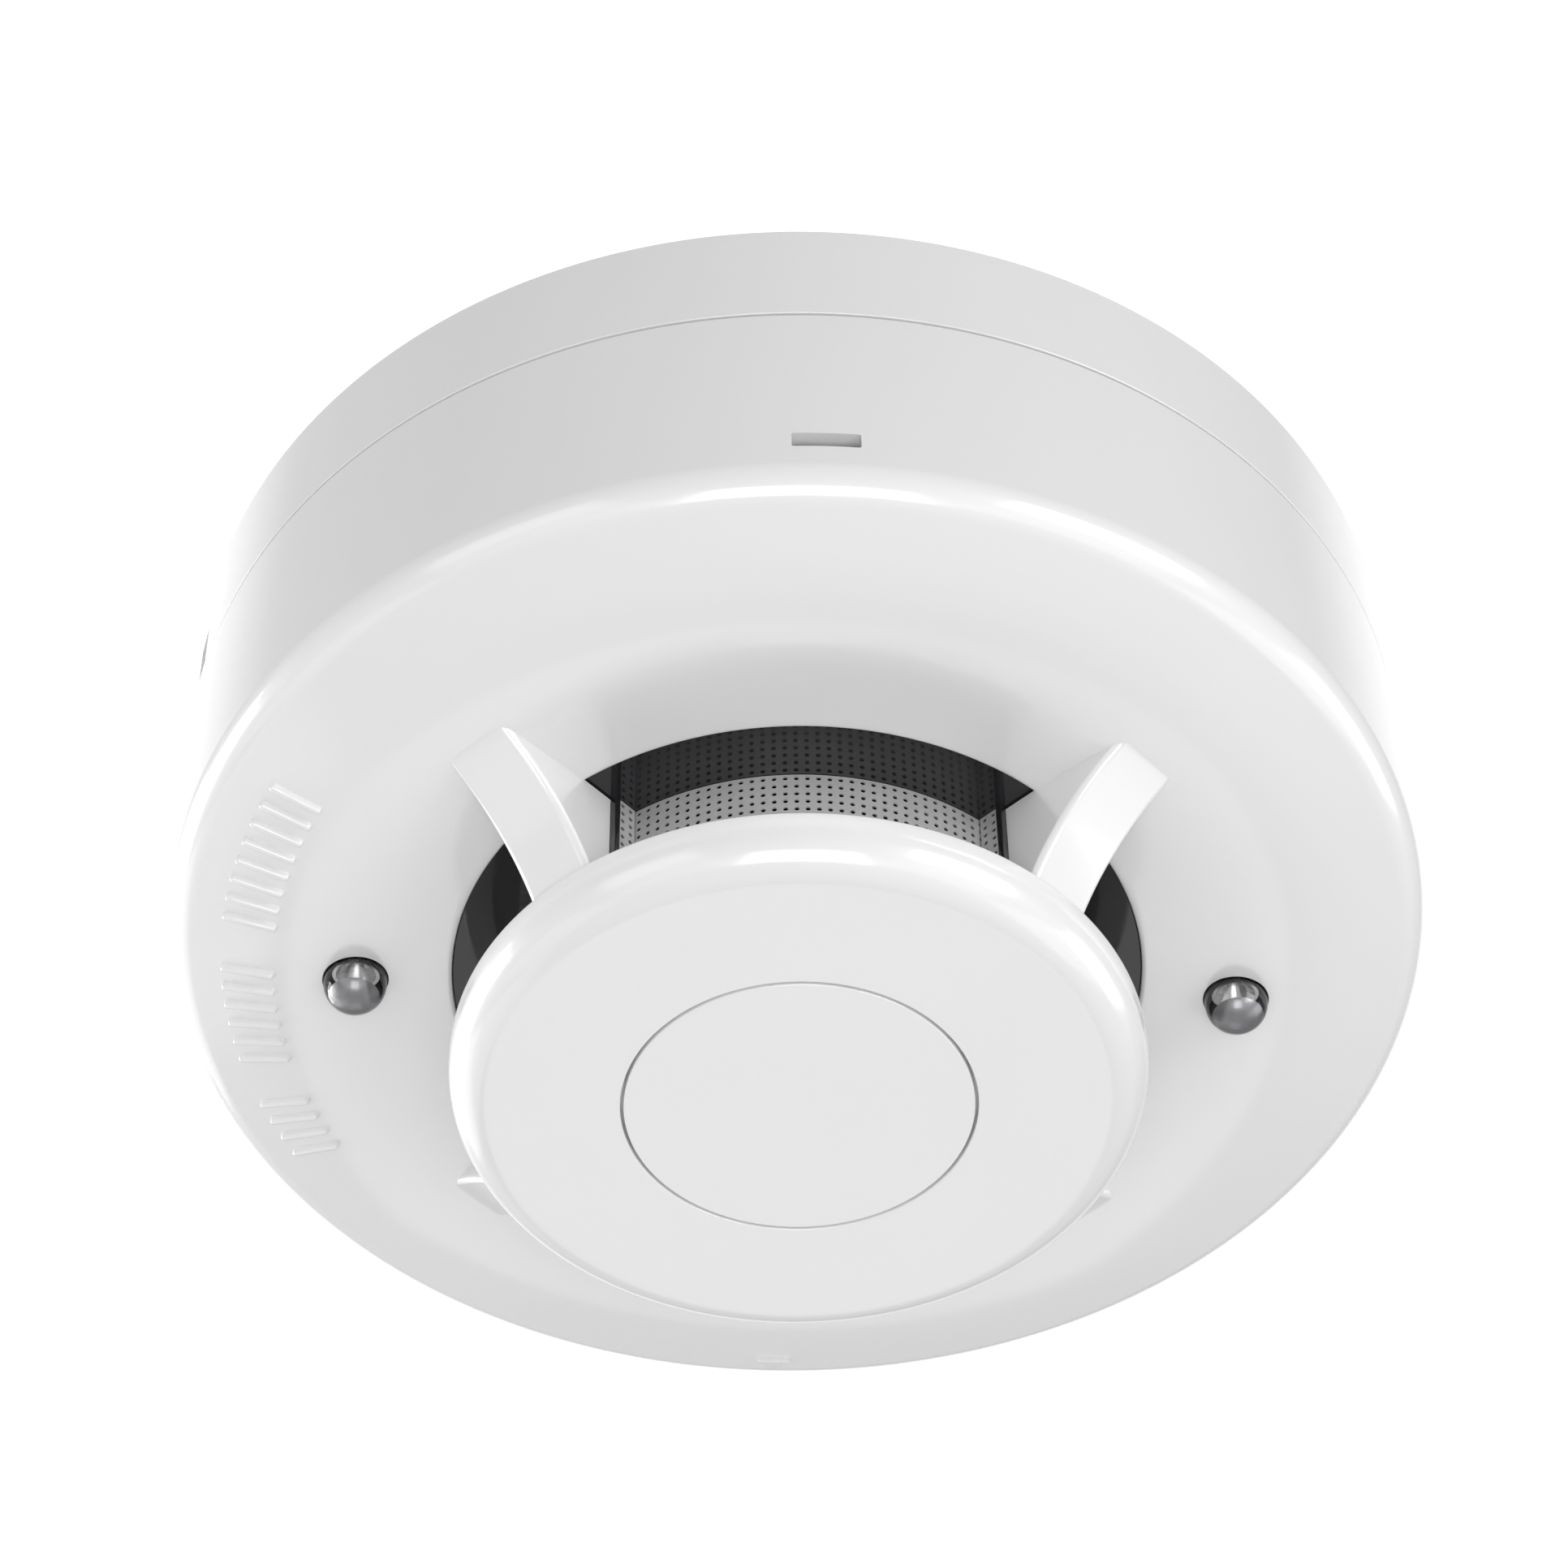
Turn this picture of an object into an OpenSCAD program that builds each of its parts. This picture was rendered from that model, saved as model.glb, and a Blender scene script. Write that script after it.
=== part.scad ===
// Ceiling smoke detector on a twist-lock mounting base, in millimetres.
// Z = 0 is the ceiling. The detector hangs below it, so every height is negative.
// The front of the detector, marked by the pointer, faces +Y. The status lamps lie on the X axis.

/* [Body] */
// Diameter of the base and of the detector head
body_d = 100; // [96:1:110]
// Thickness of the outer walls
wall = 2; // [1.6:0.1:2.4]
// Depth of the base below the ceiling, down to the seam
base_depth = 10.7; // [10.7:0.1:12]
// Gap between the base and the head at the seam
seam_gap = 0.3; // [0.3:0.05:0.5]
// Depth of the lower face below the ceiling at its rim
face_depth = 31.6; // [31.2:0.1:32]
// How much lower the face's crest is than its rim
face_drop = 1.5; // [0.5:0.1:1.6]
// Rounding between the side wall and the lower face
face_round = 2.7; // [1.5:0.1:4]

/* [Smoke chamber] */
// Radius of the opening in the lower face
mouth_r = 27.4; // [27.2:0.1:28]
// Radius of the cap
cap_r = 27.2; // [26.8:0.1:28]
// Depth of the cap's upper edge below the ceiling
cap_top = 41.4; // [41:0.1:42]
// Depth of the cap's lower face below the ceiling
cap_bottom = 46; // [46:0.1:48]
// Rounding of the cap's lower edge
cap_round = 3.3; // [1.5:0.1:3.5]
// Thickness of each of the four fins that carry the cap
fin_w = 6; // [4:0.5:8]
// Outer radius of the insect screen
screen_r = 22.35; // [22.3:0.01:22.4]
// Number of vanes in the light maze
vane_count = 20; // [14:1:24]

/* [Front] */
// Distance of each status lamp from the centre
lamp_x = 35; // [33:0.5:38]
// Radius of a status lamp
lamp_r = 2.5; // [2:0.1:2.6]
// Radius of the disc set into the cap
disc_r = 13.6; // [10:0.1:16]

/* [Mounting] */
// Distance between the two fixing slots
slot_spacing = 60; // [56:1:64]
// Width of a fixing slot
slot_w = 4.4; // [3.6:0.1:5]
// Length of a fixing slot from end to end
slot_len = 14.4; // [10:0.2:15]
// Radius of the cable opening
cable_r = 11; // [9:0.5:12]

/* [Twist lock] */
// Angular width of a lug on the head
lug_w = 13; // [10:1:14]
// Angle of the first lug; the others follow at equal steps
lug_angle = 30; // [28:1:32]

/* [Hidden] */
$fn = 96;
body_r = body_d / 2;
bore_r = body_r - wall;
clear = 0.3;
overlap = 0.2;
seat_gap = 0.02;

plate_top = -1.2;
plate_bottom = -3.2;
rib_w = 1.2;
base_bottom = -base_depth;
head_top = base_bottom - seam_gap;
face_z = -face_depth;
lip_z = face_z - 0.9;
crest_z = face_z - face_drop;
crest_r = 38;
rim_end = -76;
cap_top_z = -cap_top;
cap_z = -cap_bottom;

terminal_r = 33;
terminal_angles = [45, 135, 225, 315];
screw_r = 1.5;
thread_clear = 0.05;
clamp_top = -5.55;
clamp_bottom = -6.55;

lug_count = 3;
collar_top = -4.8;
lug_top = -5.2;
lug_bottom = -7.7;
ledge_top = lug_bottom - clear;
ledge_bottom = -9.8;

lever_angle = 201.2;
lever_r = 46.3;
lever_pin_r = 0.8;
lever_top = -4;
lever_bottom = -9.6;

chassis_top = head_top - 0.3;
chassis_bottom = chassis_top - 2;
collar_r = 44.6;
board_top = -17;
board_bottom = -18.6;
board_r = 42.5;
post_r = 39;
post_angles = [60, 160, 260];

latch_r = 46.2;
latch_z = -14.9;
latch_pin_r = 0.8;
latch_w = 4.6;
window_w = 5.1;
window_top = -25.5;
window_bottom = -27.05;

fin_angles = [45, 135, 225, 315];
fin_inner_r = 24.4;
fin_foot_r = 37;
fin_curve_r = 20.9;
fin_curve_centre = [44.6, -52.05];
fin_bottom = cap_top_z - 1.1;
lamp_z = crest_z - 0.3;
lamp_top = lamp_z + 8.4;
pointer_r = 46.3;
pointer_tip_r = 48.2;
pointer_w = 2.8;

chamber_top = -18.9;
chamber_r = 27.1;
flange_z = -32.1;
flange_t = 1.5;
flange_inner_r = 21;
maze_top = -31;
vane_top = -32.2;
vane_bottom = -41.9;
lid_bottom = -43.2;
pocket_r = 24.6;
pocket_z = -43.6;
optic_r = 14;
optic_z = -26;
optic_angles = [20, 160];

// ---- shared shapes ----

// Ring between two radii and two heights
module ring(inner, outer, low, high) {
  translate([0, 0, low]) difference() {
    cylinder(r = outer, h = high - low);
    translate([0, 0, -1]) cylinder(r = inner, h = high - low + 2);
  }
}

// Part of a ring, centred on an angle
module sector(inner, outer, low, high, angle, width) {
  rotate([0, 0, angle - width / 2]) translate([0, 0, low])
    rotate_extrude(angle = width) translate([inner, 0]) square([outer - inner, high - low]);
}

// Upright cylinder between two heights
module post(r, low, high) {
  translate([0, 0, low]) cylinder(r = r, h = high - low);
}

// Box centred on a point of the XY plane, between two heights
module block(x, y, low, high) {
  translate([-x / 2, -y / 2, low]) cube([x, y, high - low]);
}

// Slot along X with round ends
module slot(length, width, low, high) {
  reach = (length - width) / 2;
  for (side = [-1, 1]) translate([side * reach, 0, 0]) post(width / 2, low, high);
  block(2 * reach, width, low, high);
}

// Places its children at a radius and an angle, turned to face outwards
module at(radius, angle) {
  rotate([0, 0, angle]) translate([radius, 0, 0]) children();
}

// Points of a circular arc in a profile
function arc(centre, r, from, to, steps) =
  [for (i = [0:steps]) let (a = from + (to - from) * i / steps)
    [centre[0] + r * cos(a), centre[1] + r * sin(a)]];

// Smooth step between 0 and 1
function ease(t) = t * t * (3 - 2 * t);

// ---- mounting base ----

module base_slot_cuts() {
  for (side = [-1, 1]) translate([side * slot_spacing / 2, 0, 0])
    slot(slot_len, slot_w, plate_bottom - 3, 1);
}

module base_ribs() {
  rib_count = 8;
  for (i = [0:rib_count - 1]) rotate([0, 0, 22.5 + 360 / rib_count * i])
    translate([cable_r + 1, -rib_w / 2, plate_top - overlap])
      cube([bore_r - cable_r - 0.5, rib_w, -plate_top + overlap]);
  ring(cable_r, cable_r + 1.6, plate_top - overlap, 0);
  for (side = [-1, 1]) translate([side * slot_spacing / 2, 0, 0])
    slot(slot_len + 4.4, slot_w + 4.4, plate_top - overlap, 0);
}

module base_shell() {
  pedestal_bottom = plate_bottom - 1.2;
  ledge_inner = collar_r + 1;
  stop_w = 2.4;
  slot_angle = 193.7;
  side_slot_w = 2.6;
  side_slot_bottom = base_bottom + 0.7;
  color("white") difference() {
    union() {
      ring(bore_r, body_r, base_bottom, 0);
      post(bore_r + overlap, plate_bottom, plate_top);
      base_ribs();
      for (a = terminal_angles) at(terminal_r, a) block(10, 10, pedestal_bottom, plate_bottom + overlap);
      for (i = [0:lug_count - 1]) {
        a = lug_angle + 360 / lug_count * i;
        sector(ledge_inner, bore_r + overlap, ledge_bottom, ledge_top, a, lug_w + 3);
        sector(ledge_inner + 0.3, bore_r + overlap, ledge_bottom + 0.3, plate_bottom + overlap,
          a + lug_w / 2 + 1 + stop_w / 2, stop_w);
      }
      at(lever_r, lever_angle) post(lever_pin_r, lever_bottom - 0.3, plate_bottom + overlap);
    }
    post(cable_r, plate_bottom - 3, 1);
    base_slot_cuts();
    for (a = terminal_angles) at(terminal_r, a) post(screw_r + 0.2, pedestal_bottom - 1, 1);
    rotate([0, 0, slot_angle]) translate([bore_r - 1, -side_slot_w / 2, side_slot_bottom])
      cube([wall + 2, side_slot_w, 4.1]);
  }
}

// Spring contact and wire plate of one terminal
module terminal_plate(n) {
  top = plate_bottom - 1.25;
  t = 0.8;
  tongue = [[-3.5, top], [-3.5, top - t], [-4.3, top - t], [-5.5, -9.4], [-6.4, -10.3],
    [-9.4, -10.3], [-9.4, -9.7], [-6.7, -9.7], [-6.1, -9.1], [-4.8, top]];
  color("silver") at(terminal_r, terminal_angles[n]) difference() {
    union() {
      block(9, 9, top - t, top);
      translate([0, 2, 0]) rotate([90, 0, 0]) linear_extrude(4) polygon(tongue);
    }
    post(screw_r + thread_clear, top - t - 1, top + 1);
  }
}

// Loose square washer that the terminal screw presses onto the wire
module clamp_plate(n) {
  color("silver") at(terminal_r, terminal_angles[n]) difference() {
    block(8, 8, clamp_bottom, clamp_top);
    post(screw_r + 0.1, clamp_bottom - 1, clamp_top + 1);
  }
}

// Terminal screw with a cross recess
module terminal_screw(n) {
  head_r = 2.9;
  under_head = clamp_bottom - clear;
  head_end = under_head - 1.65;
  recess_len = 3.6;
  recess_w = 0.8;
  color("gray") at(terminal_r, terminal_angles[n]) difference() {
    union() {
      post(screw_r, under_head - 0.5, plate_top - 0.4);
      post(head_r, head_end, under_head);
    }
    block(recess_len, recess_w, head_end - 1, head_end + 0.9);
    block(recess_w, recess_len, head_end - 1, head_end + 0.9);
  }
}

// Rocker behind the slot in the base wall
module release_lever() {
  color("white") at(lever_r, lever_angle) difference() {
    union() {
      translate([0, -2.25, 0]) block(1.2, 12.5, lever_bottom, lever_top);
      post(1.25, lever_bottom, lever_top);
      translate([-0.7, 3.2, 0]) block(1.1, 1.4, lever_bottom, lever_top);
    }
    post(lever_pin_r + 0.06, lever_bottom - 1, lever_top + 1);
  }
}

// ---- detector head: casing ----

// Height of the face between the rim's rounding and its crest
rim_end_r = body_r - face_round + face_round * cos(rim_end);
rim_end_z = face_z + face_round + face_round * sin(rim_end);
function dome_z(r) = rim_end_z + (crest_z - rim_end_z) * sin(90 * (rim_end_r - r) / (rim_end_r - crest_r));

// Profile of the cover's wall and face, from the seam to the mouth
function cover_outside() = concat(
  [[body_r, head_top]],
  arc([body_r - face_round, face_z + face_round], face_round, 0, rim_end, 10),
  [for (i = [1:8]) let (r = rim_end_r + (crest_r - rim_end_r) * i / 8) [r, dome_z(r)]],
  [for (i = [1:8]) [crest_r + (mouth_r - crest_r) * i / 8, crest_z + (lip_z - crest_z) * ease(i / 8)]]);

function cover_inside() = [[mouth_r, lip_z + 1.6], [crest_r, crest_z + wall],
  [bore_r - 1, face_z + wall], [bore_r, face_z + wall + 1], [bore_r, head_top]];

// Profile of the cap with its pocket for the chamber and its recess for the disc
function cap_profile() = concat(
  [[0, pocket_z], [pocket_r, pocket_z], [pocket_r, cap_top_z], [cap_r - 0.4, cap_top_z],
    [cap_r, cap_top_z - 0.4]],
  arc([cap_r - cap_round, cap_z + cap_round], cap_round, 0, -90, 10),
  [[disc_r + 0.25, cap_z], [disc_r + 0.25, cap_z + 1.2], [0, cap_z + 1.2]]);

// Upright web with a hollow-curved outer edge, between the face and the cap
module fin() {
  foot_z = crest_z + 1.2;
  neck_z = flange_z - 0.2;
  rotate([90, 0, 0]) translate([0, 0, -fin_w / 2]) linear_extrude(fin_w) difference() {
    polygon([[fin_inner_r, neck_z], [mouth_r + 0.3, neck_z], [mouth_r + 0.3, foot_z],
      [fin_foot_r, foot_z], [fin_foot_r, fin_bottom], [fin_inner_r, fin_bottom]]);
    translate(fin_curve_centre) circle(r = fin_curve_r);
  }
}

// Raised wedge that marks the front, high at its flat inner edge
module pointer() {
  foot = face_z + 0.4;
  crown = dome_z(pointer_r) - 0.4;
  intersection() {
    translate([0, 0, face_z - 1]) linear_extrude(2)
      polygon([[-pointer_w / 2, pointer_r], [pointer_w / 2, pointer_r], [0, pointer_tip_r]]);
    rotate([90, 0, 90]) linear_extrude(pointer_w + 1, center = true)
      polygon([[pointer_r, foot], [pointer_r, crown], [pointer_tip_r, face_z + 0.15], [pointer_tip_r, foot]]);
  }
}

// Three groups of raised bars on the left of the face, lying along its slope
module raised_marks() {
  bar_r = 43.5;
  bar_w = 0.6;
  bar_len = 4.4;
  bar_h = 0.3;
  step = 2.6;
  groups = [[152.8, 4], [167.6, 6], [187.8, 8]];
  slope = atan((dome_z(bar_r + 1) - dome_z(bar_r - 1)) / 2);
  for (group = groups, i = [0:group[1] - 1])
    at(bar_r, group[0] + step * i) translate([0, 0, dome_z(bar_r)]) rotate([0, -slope, 0])
      slot(bar_len, bar_w, -bar_h, 0.5);
}

module outer_cover() {
  color("white") difference() {
    union() {
      rotate_extrude() polygon(concat(cover_outside(), cover_inside()));
      rotate_extrude() polygon(cap_profile());
      for (a = fin_angles) rotate([0, 0, a]) fin();
      pointer();
      raised_marks();
    }
    for (side = [-1, 1]) {
      translate([side * lamp_x, 0, 0]) post(lamp_r + 0.12, crest_z - 1, face_z + 4);
      translate([-window_w / 2, side * body_r - 3, window_bottom])
        cube([window_w, 3 * wall, window_top - window_bottom]);
    }
  }
}

// Disc set flush into the cap
module centre_disc() {
  color("white") post(disc_r, cap_z, cap_z + 1.15);
}

// Back plate of the head, with the twist-lock collar and the posts for the board
module chassis() {
  ear_in = latch_w / 2 + clear;
  ear_w = 1.4;
  color("white") difference() {
    union() {
      post(bore_r - 0.4, chassis_bottom, chassis_top);
      ring(collar_r - 1.8, collar_r, chassis_top - overlap, collar_top);
      for (i = [0:lug_count - 1])
        sector(collar_r - overlap, bore_r - 0.6, lug_bottom, lug_top, lug_angle + 360 / lug_count * i, lug_w);
      for (a = post_angles) at(post_r, a) post(3, board_top + 0.05, chassis_bottom + overlap);
      for (side = [-1, 1], hand = [-1, 1])
        translate([hand * (ear_in + ear_w / 2), side * latch_r, 0])
          block(ear_w, 2.4, latch_z - 1.4, chassis_bottom + overlap);
    }
    for (a = post_angles) at(post_r, a) post(1.2, board_top - 1, chassis_bottom + 0.5);
    for (side = [-1, 1]) translate([0, side * latch_r, latch_z]) rotate([0, 90, 0])
      cylinder(r = latch_pin_r + 0.06, h = 12, center = true);
    post(4, chassis_bottom - 1, chassis_top + 1);
  }
}

// Blade that meets the terminal's spring contact once the head is twisted home
module contact_blade(n) {
  color("gold") sector(22.5, 28, chassis_top + seat_gap, chassis_top + 0.6, terminal_angles[n], 16);
}

// Snap finger that holds the cover and shows in its window
module cover_latch(side) {
  foot = window_bottom - 0.55;
  nose_w = 4.5;
  nose_bottom = window_bottom + 0.4;
  color("gainsboro") rotate([0, 0, side < 0 ? 0 : 180]) translate([0, -latch_r, 0]) {
    translate([0, 0, latch_z]) rotate([0, 90, 0]) {
      cylinder(r = 1.2, h = latch_w, center = true);
      cylinder(r = latch_pin_r, h = latch_w + 3, center = true);
    }
    translate([-latch_w / 2, -1.2, foot]) cube([latch_w, 1.2, latch_z - foot]);
    translate([-nose_w / 2, -2.8, nose_bottom]) cube([nose_w, 1.8, 0.9]);
  }
}

// ---- detector head: electronics ----

module circuit_board() {
  color("darkgreen") difference() {
    post(board_r, board_bottom, board_top);
    for (a = post_angles) at(post_r, a) post(1.4, board_bottom - 1, board_top + 1);
    for (a = optic_angles) at(optic_r + 6, a) post(0.5, board_bottom - 1, board_top + 1);
  }
}

module board_screws() {
  color("gray") for (a = post_angles) at(post_r, a) {
    post(1.15, board_bottom - 0.5, board_top + 3);
    post(2.4, board_bottom - 1.7, board_bottom - 0.05);
  }
}

module microcontroller() {
  translate([-24, -25, 0]) rotate([0, 0, 45]) color("dimgray") {
    block(7, 7, board_bottom - 1.6, board_bottom - 0.2);
    for (i = [-3:3], turn = [0, 90, 180, 270]) rotate([0, 0, turn])
      translate([3.9, i * 0.9, 0]) block(1.2, 0.4, board_bottom - 0.9, board_bottom - seat_gap);
  }
}

module capacitors() {
  // Each can's place, radius and height
  cans = [[9, 34, 3.2, 7.5], [-9, 34, 2.5, 6], [10, -34, 3.2, 7.5]];
  color("slategray") for (can = cans)
    translate([can[0], can[1], 0]) post(can[2], board_bottom - can[3], board_bottom - seat_gap);
}

module resistors() {
  color("black") for (i = [0:6]) at(31.5, 205 + 9 * i)
    if (i < 2 || i > 3) block(1.3, 2.2, board_bottom - 0.6, board_bottom - seat_gap);
}

module diodes() {
  color("black") for (i = [0:3]) at(38, 20 + 8 * i)
    block(1.8, 3.4, board_bottom - 1.3, board_bottom - seat_gap);
}

// Glass reed switch for a magnet test
module reed_switch() {
  color("lightblue") translate([-25, 25, board_bottom - 1.3]) rotate([0, 90, 135]) {
    cylinder(r = 1.1, h = 10, center = true);
    cylinder(r = 0.35, h = 14, center = true);
  }
}

module shield_can() {
  color("silver") translate([24, -25, 0]) rotate([0, 0, -45]) difference() {
    block(8, 11, board_bottom - 3.4, board_bottom - seat_gap);
    block(7.4, 10.4, board_bottom - 3.1, board_bottom + 1);
  }
}

// ---- detector head: smoke chamber ----

// Black cup with its flange around the mouth and the posts behind the fins
module chamber_base() {
  cup_wall = 1.6;
  post_bottom = lid_bottom + 0.3;
  color("black") difference() {
    union() {
      difference() {
        post(chamber_r, flange_z, chamber_top);
        post(chamber_r - cup_wall, flange_z + flange_t, chamber_top - cup_wall);
      }
      for (a = fin_angles) rotate([0, 0, a])
        translate([screen_r + 0.25, -fin_w / 2 - 0.6, post_bottom])
          cube([1.5, fin_w + 1.2, flange_z + overlap - post_bottom]);
    }
    post(flange_inner_r, flange_z - 1, flange_z + flange_t + 1);
    for (a = optic_angles) at(optic_r + 6, a) post(0.6, chamber_top - 2, chamber_top + 1);
  }
}

// Blocks that hold the emitter and the photodiode at an angle to each other
module optics_holder() {
  color("black") for (a = optic_angles) at(optic_r, a) difference() {
    block(11, 8, optic_z - 3.6, chamber_top - 1.65);
    translate([0, 0, optic_z]) rotate([0, 90, 0]) cylinder(r = 2.55, h = 20, center = true);
    translate([6, 0, 0]) block(2, 1.6, optic_z - 1, chamber_top);
  }
}

// Round optical part lying in its holder, with its lens towards the centre
module optic(a) {
  at(optic_r, a) translate([0, 0, optic_z]) {
    rotate([0, 90, 0]) cylinder(r = 2.5, h = 7, center = true);
    translate([-3.5, 0, 0]) sphere(r = 2.5);
  }
}

module ir_emitter() {
  color("midnightblue") optic(optic_angles[0]);
}

module photodiode() {
  color("midnightblue") optic(optic_angles[1]);
}

module optics_leads() {
  color("silver") for (a = optic_angles) at(optic_r, a) {
    translate([3.55, -0.3, optic_z - 0.3]) cube([2.8, 0.6, 0.6]);
    translate([6, 0, 0]) post(0.35, optic_z - 0.3, board_top + 0.5);
  }
}

// Ring of bent vanes that lets smoke in and keeps light out
module light_maze() {
  vane = [[14.2, 0], [17.4, 2.3], [21, 0.6], [21, 1.5], [17.2, 3.5], [13.8, 0.9]];
  color("black") {
    ring(13.6, flange_inner_r - 0.2, vane_top - overlap, maze_top);
    for (i = [0:vane_count - 1]) rotate([0, 0, 360 / vane_count * i])
      translate([0, 0, vane_bottom]) linear_extrude(vane_top - vane_bottom) polygon(vane);
  }
}

// Fine metal screen around the chamber
module insect_screen() {
  color("lightgray") ring(screen_r - 0.3, screen_r, lid_bottom, flange_z - 0.05);
}

module chamber_lid() {
  color("black") post(screen_r - 0.4, lid_bottom, vane_bottom - 0.05);
}

// ---- status lamps ----

// Clear lamp with a round end that stands proud of the face
module status_lamp(side) {
  color("azure") translate([side * lamp_x, 0, 0]) {
    post(lamp_r, lamp_z, lamp_top - 0.9);
    translate([0, 0, lamp_z]) sphere(r = lamp_r);
    post(lamp_r + 0.4, lamp_top - 1, lamp_top);
  }
}

module lamp_leads() {
  color("silver") for (side = [-1, 1], hand = [-1, 1])
    translate([side * lamp_x, hand * 1.27, 0]) block(0.5, 0.5, lamp_top + 0.05, board_bottom - seat_gap);
}

base_shell();
terminal_plate(0);  // terminal_plate_1
terminal_plate(1);  // terminal_plate_2
terminal_plate(2);  // terminal_plate_3
terminal_plate(3);  // terminal_plate_4
clamp_plate(0);  // clamp_plate_1
clamp_plate(1);  // clamp_plate_2
clamp_plate(2);  // clamp_plate_3
clamp_plate(3);  // clamp_plate_4
terminal_screw(0);  // terminal_screw_1
terminal_screw(1);  // terminal_screw_2
terminal_screw(2);  // terminal_screw_3
terminal_screw(3);  // terminal_screw_4
release_lever();
outer_cover();
centre_disc();
chassis();
contact_blade(0);  // contact_blade_1
contact_blade(1);  // contact_blade_2
contact_blade(2);  // contact_blade_3
contact_blade(3);  // contact_blade_4
cover_latch(-1);  // cover_latch_front
cover_latch(1);  // cover_latch_rear
circuit_board();
board_screws();
microcontroller();
capacitors();
resistors();
diodes();
reed_switch();
shield_can();
chamber_base();
optics_holder();
ir_emitter();
photodiode();
optics_leads();
light_maze();
insect_screen();
chamber_lid();
status_lamp(-1);  // status_lamp_left
status_lamp(1);  // status_lamp_right
lamp_leads();
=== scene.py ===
"""Looks of a ceiling smoke detector on its twist-lock base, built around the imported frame."""

import math

import bmesh
import bpy
from mathutils import Matrix, Vector


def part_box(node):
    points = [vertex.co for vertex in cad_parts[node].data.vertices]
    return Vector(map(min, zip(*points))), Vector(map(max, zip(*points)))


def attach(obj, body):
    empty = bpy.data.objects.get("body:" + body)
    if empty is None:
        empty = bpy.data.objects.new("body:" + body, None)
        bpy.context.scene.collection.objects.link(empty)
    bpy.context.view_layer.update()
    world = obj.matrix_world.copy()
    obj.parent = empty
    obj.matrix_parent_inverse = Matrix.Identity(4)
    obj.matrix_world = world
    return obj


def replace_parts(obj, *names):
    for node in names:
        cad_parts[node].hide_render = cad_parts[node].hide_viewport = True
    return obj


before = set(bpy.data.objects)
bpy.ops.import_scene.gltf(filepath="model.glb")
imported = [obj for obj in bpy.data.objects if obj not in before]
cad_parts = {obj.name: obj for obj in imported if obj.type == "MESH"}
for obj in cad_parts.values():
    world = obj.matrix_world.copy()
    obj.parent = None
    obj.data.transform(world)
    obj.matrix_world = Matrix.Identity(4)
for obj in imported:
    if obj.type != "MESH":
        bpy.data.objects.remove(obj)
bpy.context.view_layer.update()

# ---------------------------------------------------------------- sizes, in millimetres

MM = 0.001


def box_mm(node):
    """Lowest and highest corners of a CAD node, in millimetres."""
    low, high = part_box(node)
    return low / MM, high / MM


BODY_R = box_mm("outer_cover")[1].x
HEAD_TOP = box_mm("outer_cover")[1].z
CAP_Z = box_mm("outer_cover")[0].z
BASE_BOTTOM = box_mm("base_shell")[0].z
WALL = 2.0
BORE_R = BODY_R - WALL
LAMP_X = 35.0
LAMP_R = 2.5
LAMP_GAP = 0.12
LAMP_Z = box_mm("status_lamp_left")[0].z + LAMP_R
FACE_Z = -31.6
FACE_ROUND = 2.7
RIM_END = -76
RIM_END_R = BODY_R - FACE_ROUND + FACE_ROUND * math.cos(math.radians(RIM_END))
RIM_END_Z = FACE_Z + FACE_ROUND + FACE_ROUND * math.sin(math.radians(RIM_END))
CREST_R = 38.0
CREST_Z = FACE_Z - 1.5
MOUTH_R = 27.4
LIP_Z = FACE_Z - 0.9

CAP_R = 27.2
CAP_TOP = -41.4
CAP_ROUND = 3.3
POCKET_R = 24.6
POCKET_Z = -43.6
DISC_R = box_mm("centre_disc")[1].x
DISC_RECESS = 1.2

FIN_W = 6.0
FIN_INNER_R = 24.4
FIN_CURVE_R = 20.9
FIN_CURVE_CENTRE = (44.6, -52.05)
FIN_BOTTOM = -42.5
FIN_ANGLES = (45, 135, 225, 315)

SCREEN_R = box_mm("insect_screen")[1].x
SCREEN_TOP = box_mm("insect_screen")[1].z
SCREEN_BOTTOM = box_mm("insect_screen")[0].z
SCREEN_PITCH = 0.85
SCREEN_HOLE_R = 0.205
SCREEN_THICKNESS = 0.12
WING_START = 22.2
WING_SIDE = 3.45

POST_GAP = 0.25
POST_BOTTOM = -42.9

FLANGE_Z = -32.1
FLANGE_T = 1.5
FLANGE_INNER_R = 21.0
CHAMBER_R = box_mm("chamber_base")[1].x
CHAMBER_TOP = box_mm("chamber_base")[1].z
CHAMBER_WALL = 1.6

PLATE_TOP = -1.2
PLATE_BOTTOM = -3.2
CABLE_R = 11.0
SLOT_SPACING = 60.0
SLOT_W = 4.4
SLOT_LEN = 14.4
TERMINAL_R = 33.0
TERMINAL_ANGLES = (45, 135, 225, 315)
LUG_ANGLE = 30
LUG_COUNT = 3

LATHE_STEPS = 360
FULL_TURN = 360


# ---------------------------------------------------------------- mesh tools

def keep(mesh, name):
    """Puts a mesh in the scene as an object."""
    obj = bpy.data.objects.new(name, mesh)
    bpy.context.scene.collection.objects.link(obj)
    return obj


def mesh_object(name, verts, faces):
    """Object from vertices in millimetres and faces, with its normals facing out."""
    mesh = bpy.data.meshes.new(name)
    mesh.from_pydata([[c * MM for c in v] for v in verts], [], faces)
    bm = bmesh.new()
    bm.from_mesh(mesh)
    bmesh.ops.remove_doubles(bm, verts=bm.verts, dist=1e-7)
    bmesh.ops.recalc_face_normals(bm, faces=bm.faces)
    bm.to_mesh(mesh)
    bm.free()
    return keep(mesh, name)


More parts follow.
